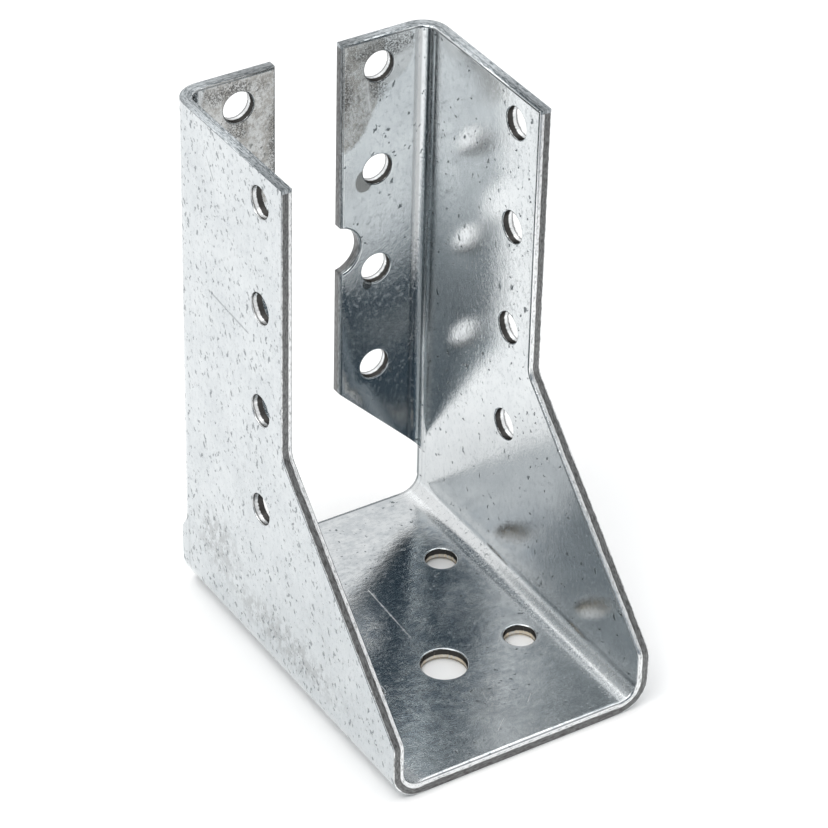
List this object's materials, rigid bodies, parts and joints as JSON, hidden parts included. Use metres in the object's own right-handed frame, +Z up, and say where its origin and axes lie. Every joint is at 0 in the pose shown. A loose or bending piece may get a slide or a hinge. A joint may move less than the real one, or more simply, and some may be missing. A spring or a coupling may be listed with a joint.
{
  "type": "joist hanger",
  "caption": "Folded galvanised steel joist hanger: a U-shaped stirrup with tapered cheeks, inward nailing flanges cut back at the foot, and punched nail holes.",
  "frame": {"origin": "under the middle of the overall box, on the plane of the seat's underside", "axes": "+X across the hanger to its right as seen from the front, +Y from the open front to the header, +Z up"},
  "size_m": [0.045, 0.064, 0.0875],
  "materials": {
    "galvanised_steel": "bright galvanised sheet, lightly stained and scratched"
  },
  "bodies": {
    "root": {"hanger": "galvanised_steel"}
  },
  "joints": []
}
